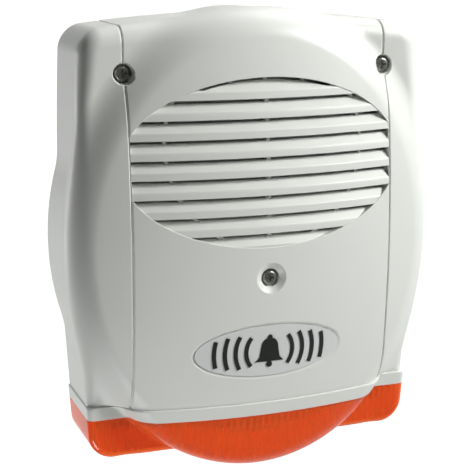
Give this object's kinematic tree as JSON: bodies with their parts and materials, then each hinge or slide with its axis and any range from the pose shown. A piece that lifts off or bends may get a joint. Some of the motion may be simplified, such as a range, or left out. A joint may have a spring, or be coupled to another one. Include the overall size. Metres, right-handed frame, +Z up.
{
  "type": "alarm siren",
  "caption": "Wall-mounted outdoor alarm siren with a domed, louvred plastic cover, an amber flasher lens underneath, and a horn, battery and control board inside.",
  "frame": {"origin": "centre of the wall plane, at the centre of the oval dome and of the four wall holes", "axes": "+X to the right seen from the front, -Y out from the wall towards the viewer, +Z up; the wall is the plane y = 0"},
  "size_m": [0.228, 0.0795, 0.274],
  "materials": {
    "cover_plastic": "fine satin texture",
    "badge_plastic": "satin",
    "black_print": "printed",
    "galvanised_steel": "zinc plated sheet",
    "lens_plastic": "clear orange polycarbonate",
    "base_plastic": "satin",
    "black_rubber": "matte",
    "horn_plastic": "moulded black",
    "ferrite": "matte",
    "plated_steel": "zinc plated",
    "dark_screw": "dark zinc plated",
    "copper": "enamelled wire",
    "phenolic_film": "thin film",
    "battery_plastic": "moulded",
    "brass": "tinned",
    "clear_sleeve": "soft sleeve",
    "circuit_board": "solder mask",
    "terminal_green": "moulded",
    "black_plastic": "moulded",
    "capacitor_sleeve": "shrink sleeve",
    "transformer_yellow": "tape",
    "trimmer_blue": "moulded",
    "white_plastic": "moulded",
    "red_plastic": "moulded",
    "mirror_metal": "metallised",
    "tube_glass": "clear",
    "black_insulation": "PVC",
    "red_insulation": "PVC",
    "grey_insulation": "PVC",
    "white_insulation": "PVC"
  },
  "bodies": {
    "housing": {"base_plate": "base_plastic", "cable_grommet": "black_rubber", "horn_bell": "horn_plastic", "horn_screws": "plated_steel", "driver_housing": "horn_plastic", "driver_magnet": "ferrite", "driver_yoke": "plated_steel", "battery_case": "battery_plastic", "battery_terminals": "brass", "lead_connectors": "clear_sleeve", "battery_strap": "plated_steel", "strap_screw": "plated_steel", "main_board": "circuit_board", "board_screws": "plated_steel", "terminal_block": "terminal_green", "relay": "black_plastic", "capacitors": "capacitor_sleeve", "transformer": "transformer_yellow", "controller_chips": "black_plastic", "trimmer_body": "trimmer_blue", "front_tamper_switch": "black_plastic", "wall_tamper_switch": "black_plastic", "lamp_board": "circuit_board", "lamp_screws": "plated_steel", "lamp_reflector": "mirror_metal", "flash_tube": "tube_glass", "tube_clips": "plated_steel", "battery_lead_black": "black_insulation", "battery_lead_red": "red_insulation", "horn_lead": "grey_insulation", "tamper_lead": "white_insulation", "lamp_lead": "grey_insulation"},
    "cover": {"outer_cover": "cover_plastic", "badge_plate": "badge_plastic", "badge_mark": "black_print", "anti_foam_screen": "galvanised_steel", "screen_screws": "plated_steel", "flasher_lens": "lens_plastic", "lens_screws": "plated_steel"},
    "washer_top_left": {"captive_washer_top_left": "dark_screw"},
    "screw_top_left": {"cover_screw_top_left": "dark_screw"},
    "washer_top_right": {"captive_washer_top_right": "dark_screw"},
    "screw_top_right": {"cover_screw_top_right": "dark_screw"},
    "washer_centre": {"captive_washer_centre": "dark_screw"},
    "screw_centre": {"cover_screw_centre": "dark_screw"},
    "front_plunger": {"front_tamper_plunger": "red_plastic"},
    "wall_plunger": {"wall_tamper_plunger": "white_plastic"},
    "cone": {"diaphragm": "phenolic_film", "voice_coil": "copper"},
    "trimmer": {"trimmer_knob": "white_plastic"}
  },
  "joints": [
    {"name": "cover_off", "type": "slide", "parent": "housing", "child": "cover", "axis": [0, -1, 0], "range_m": [0, 0.12]},
    {"name": "screw_out_top_left", "type": "slide", "parent": "cover", "child": "washer_top_left", "axis": [0, -1, 0], "range_m": [0, 0.008]},
    {"name": "screw_turn_top_left", "type": "hinge", "parent": "washer_top_left", "child": "screw_top_left", "pos_m": [-0.08, 0, 0.103], "axis": [0, -1, 0], "range_deg": [0, 2058]},
    {"name": "screw_out_top_right", "type": "slide", "parent": "cover", "child": "washer_top_right", "axis": [0, -1, 0], "range_m": [0, 0.008]},
    {"name": "screw_turn_top_right", "type": "hinge", "parent": "washer_top_right", "child": "screw_top_right", "pos_m": [0.08, 0, 0.103], "axis": [0, -1, 0], "range_deg": [0, 2058]},
    {"name": "screw_out_centre", "type": "slide", "parent": "cover", "child": "washer_centre", "axis": [0, -1, 0], "range_m": [0, 0.008]},
    {"name": "screw_turn_centre", "type": "hinge", "parent": "washer_centre", "child": "screw_centre", "pos_m": [0, 0, -0.0157], "axis": [0, -1, 0], "range_deg": [0, 2058]},
    {"name": "front_tamper", "type": "slide", "parent": "housing", "child": "front_plunger", "axis": [0, -1, 0], "range_m": [0, 0.003]},
    {"name": "wall_tamper", "type": "slide", "parent": "housing", "child": "wall_plunger", "axis": [0, 1, 0], "range_m": [0, 0.003], "stiffness_N_per_m": 100, "springref_m": 0.003},
    {"name": "diaphragm_stroke", "type": "slide", "parent": "housing", "child": "cone", "axis": [0, -1, 0], "range_m": [-0.0004, 0.0004], "stiffness_N_per_m": 2000},
    {"name": "volume_trimmer", "type": "hinge", "parent": "housing", "child": "trimmer", "pos_m": [0.0605, 0, 0.012], "axis": [0, -1, 0], "range_deg": [-135, 135]}
  ],
  "couplings": [
    {"joint": "screw_turn_top_left", "follows": "screw_out_top_left", "rad_per_m": 4488},
    {"joint": "screw_turn_top_right", "follows": "screw_out_top_right", "rad_per_m": 4488},
    {"joint": "screw_turn_centre", "follows": "screw_out_centre", "rad_per_m": 4488},
    {"joint": "front_tamper", "follows": "cover_off", "ratio": 0.025}
  ]
}
